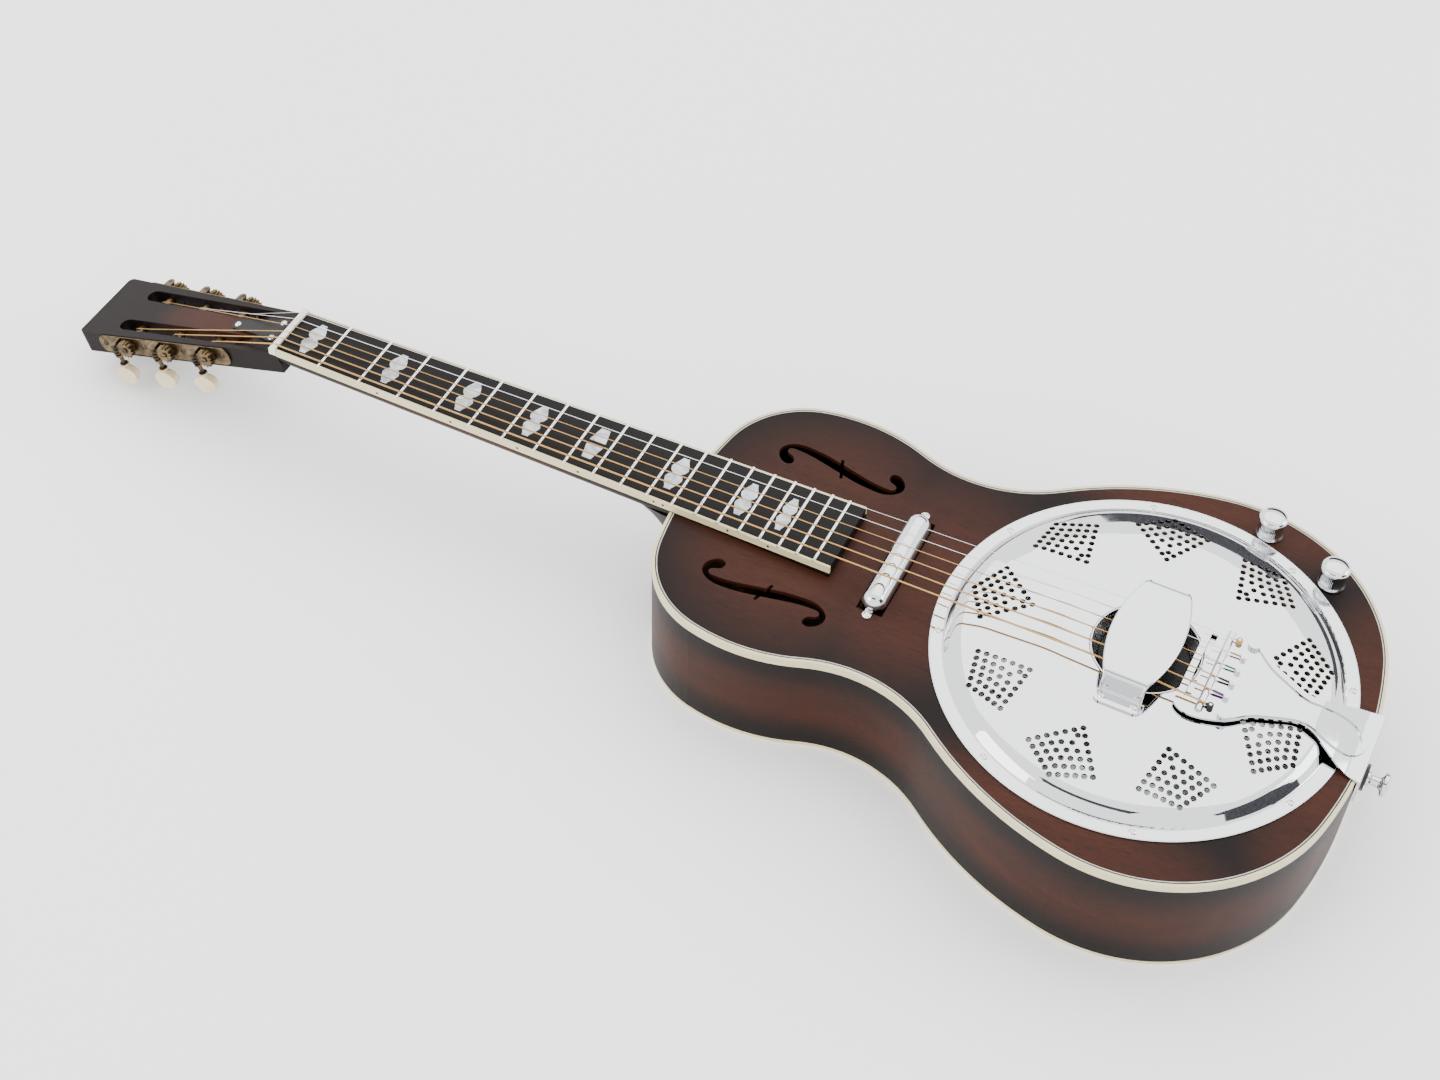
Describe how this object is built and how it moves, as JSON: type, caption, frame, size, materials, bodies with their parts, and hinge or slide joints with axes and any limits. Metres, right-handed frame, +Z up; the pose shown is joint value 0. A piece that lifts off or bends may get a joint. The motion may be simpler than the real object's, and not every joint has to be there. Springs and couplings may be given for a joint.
{
  "type": "resonator guitar",
  "caption": "Wooden-bodied single-cone resonator guitar with slotted headstock, geared tuners, pierced chrome cover plate, palm rest, trapeze tailpiece, neck pickup and two turning controls.",
  "frame": {"origin": "On the flat back, straight under the middle of the round cone.", "axes": "+X from the headstock to the tail, +Y to the treble side (the side of the knobs), +Z up out of the top; the guitar lies on its back."},
  "size_m": [0.982, 0.322, 0.119],
  "materials": {
    "sunburst_mahogany": "satin sunburst lacquer over mahogany",
    "neck_mahogany": "satin dark brown lacquer",
    "cream_binding": "polished cream celluloid",
    "pale_spruce": "bare sanded wood",
    "spun_aluminium": "spun, fine turning lines",
    "black_maple": "black stained, satin",
    "mirror_chrome": "polished chrome plate",
    "nickel_steel": "polished nickel",
    "black_felt": "pressed felt",
    "dark_rosewood": "oiled, near black",
    "pearl": "pearl with a slow grey figure",
    "black_plastic": "satin black",
    "bone": "polished bone",
    "antique_brass": "aged, rolled edges",
    "dark_bronze": "dark aged bronze",
    "ivory_plastic": "moulded ivory plastic",
    "bronze_wire": "bronze winding over steel"
  },
  "bodies": {
    "guitar": {"top_soundboard": "sunburst_mahogany", "back_panel": "sunburst_mahogany", "sides": "sunburst_mahogany", "top_binding": "cream_binding", "back_binding": "cream_binding", "linings": "pale_spruce", "neck_block": "pale_spruce", "tail_block": "pale_spruce", "soundwell_ring": "pale_spruce", "back_braces": "pale_spruce", "resonator_cone": "spun_aluminium", "biscuit": "black_maple", "saddle": "black_maple", "cover_plate": "mirror_chrome", "round_head_screws": "nickel_steel", "palm_rest": "mirror_chrome", "pickup_cover": "mirror_chrome", "pickup_coil": "black_plastic", "tailpiece": "mirror_chrome", "strap_button": "mirror_chrome", "strap_button_screw": "nickel_steel", "strap_button_felt": "black_felt", "neck": "neck_mahogany", "heel_cap": "cream_binding", "fretboard": "dark_rosewood", "fretboard_binding": "cream_binding", "fretboard_wedge": "neck_mahogany", "frets": "nickel_steel", "fret_inlays": "pearl", "side_dots": "black_plastic", "nut": "bone", "truss_rod": "nickel_steel", "truss_rod_cover": "black_plastic", "tuner_plates": "antique_brass", "tuner_plate_screws": "dark_bronze", "strings": "bronze_wire", "potentiometers": "nickel_steel", "output_jack": "mirror_chrome"},
    "tuner_key_1": {"tuner_shaft_1": "dark_bronze", "tuner_button_1": "ivory_plastic"},
    "tuner_post_1": {"tuner_gear_1": "antique_brass"},
    "tuner_key_2": {"tuner_shaft_2": "dark_bronze", "tuner_button_2": "ivory_plastic"},
    "tuner_post_2": {"tuner_gear_2": "antique_brass"},
    "tuner_key_3": {"tuner_shaft_3": "dark_bronze", "tuner_button_3": "ivory_plastic"},
    "tuner_post_3": {"tuner_gear_3": "antique_brass"},
    "tuner_key_4": {"tuner_shaft_4": "dark_bronze", "tuner_button_4": "ivory_plastic"},
    "tuner_post_4": {"tuner_gear_4": "antique_brass"},
    "tuner_key_5": {"tuner_shaft_5": "dark_bronze", "tuner_button_5": "ivory_plastic"},
    "tuner_post_5": {"tuner_gear_5": "antique_brass"},
    "tuner_key_6": {"tuner_shaft_6": "dark_bronze", "tuner_button_6": "ivory_plastic"},
    "tuner_post_6": {"tuner_gear_6": "antique_brass"},
    "volume_control": {"volume_knob": "mirror_chrome", "volume_pot_shaft": "nickel_steel"},
    "tone_control": {"tone_knob": "mirror_chrome", "tone_pot_shaft": "nickel_steel"}
  },
  "joints": [
    {"name": "tuner_key_turn_1", "type": "hinge", "parent": "guitar", "child": "tuner_key_1", "pos_m": [-0.7077, -0.03154, 0.05865], "axis": [-0.2704, 0, 0.9627], "continuous": true},
    {"name": "tuner_post_turn_1", "type": "hinge", "parent": "guitar", "child": "tuner_post_1", "pos_m": [-0.69899, -0.03101, 0.0611], "axis": [0.0561, -0.9983, 0.0157], "continuous": true},
    {"name": "tuner_key_turn_2", "type": "hinge", "parent": "guitar", "child": "tuner_key_2", "pos_m": [-0.74284, -0.03366, 0.04878], "axis": [-0.2704, 0, 0.9627], "continuous": true},
    {"name": "tuner_post_turn_2", "type": "hinge", "parent": "guitar", "child": "tuner_post_2", "pos_m": [-0.73413, -0.03314, 0.05123], "axis": [0.0561, -0.9983, 0.0157], "continuous": true},
    {"name": "tuner_key_turn_3", "type": "hinge", "parent": "guitar", "child": "tuner_key_3", "pos_m": [-0.77798, -0.03579, 0.03891], "axis": [-0.2704, 0, 0.9627], "continuous": true},
    {"name": "tuner_post_turn_3", "type": "hinge", "parent": "guitar", "child": "tuner_post_3", "pos_m": [-0.76927, -0.03527, 0.04136], "axis": [0.0561, -0.9983, 0.0157], "continuous": true},
    {"name": "tuner_key_turn_4", "type": "hinge", "parent": "guitar", "child": "tuner_key_4", "pos_m": [-0.7077, 0.03154, 0.05865], "axis": [-0.2704, 0, 0.9627], "continuous": true},
    {"name": "tuner_post_turn_4", "type": "hinge", "parent": "guitar", "child": "tuner_post_4", "pos_m": [-0.69899, 0.03101, 0.0611], "axis": [0.0561, 0.9983, 0.0157], "continuous": true},
    {"name": "tuner_key_turn_5", "type": "hinge", "parent": "guitar", "child": "tuner_key_5", "pos_m": [-0.74284, 0.03366, 0.04878], "axis": [-0.2704, 0, 0.9627], "continuous": true},
    {"name": "tuner_post_turn_5", "type": "hinge", "parent": "guitar", "child": "tuner_post_5", "pos_m": [-0.73413, 0.03314, 0.05123], "axis": [0.0561, 0.9983, 0.0157], "continuous": true},
    {"name": "tuner_key_turn_6", "type": "hinge", "parent": "guitar", "child": "tuner_key_6", "pos_m": [-0.77798, 0.03579, 0.03891], "axis": [-0.2704, 0, 0.9627], "continuous": true},
    {"name": "tuner_post_turn_6", "type": "hinge", "parent": "guitar", "child": "tuner_post_6", "pos_m": [-0.76927, 0.03527, 0.04136], "axis": [0.0561, 0.9983, 0.0157], "continuous": true},
    {"name": "volume_turn", "type": "hinge", "parent": "guitar", "child": "volume_control", "pos_m": [0.0379, 0.1418, 0.089], "axis": [0, 0, 1], "range_deg": [0, 300]},
    {"name": "tone_turn", "type": "hinge", "parent": "guitar", "child": "tone_control", "pos_m": [0.0874, 0.1192, 0.089], "axis": [0, 0, 1], "range_deg": [0, 300]}
  ],
  "couplings": [
    {"joint": "tuner_post_turn_1", "follows": "tuner_key_turn_1", "ratio": 0.071429},
    {"joint": "tuner_post_turn_2", "follows": "tuner_key_turn_2", "ratio": 0.071429},
    {"joint": "tuner_post_turn_3", "follows": "tuner_key_turn_3", "ratio": 0.071429},
    {"joint": "tuner_post_turn_4", "follows": "tuner_key_turn_4", "ratio": 0.071429},
    {"joint": "tuner_post_turn_5", "follows": "tuner_key_turn_5", "ratio": 0.071429},
    {"joint": "tuner_post_turn_6", "follows": "tuner_key_turn_6", "ratio": 0.071429}
  ]
}
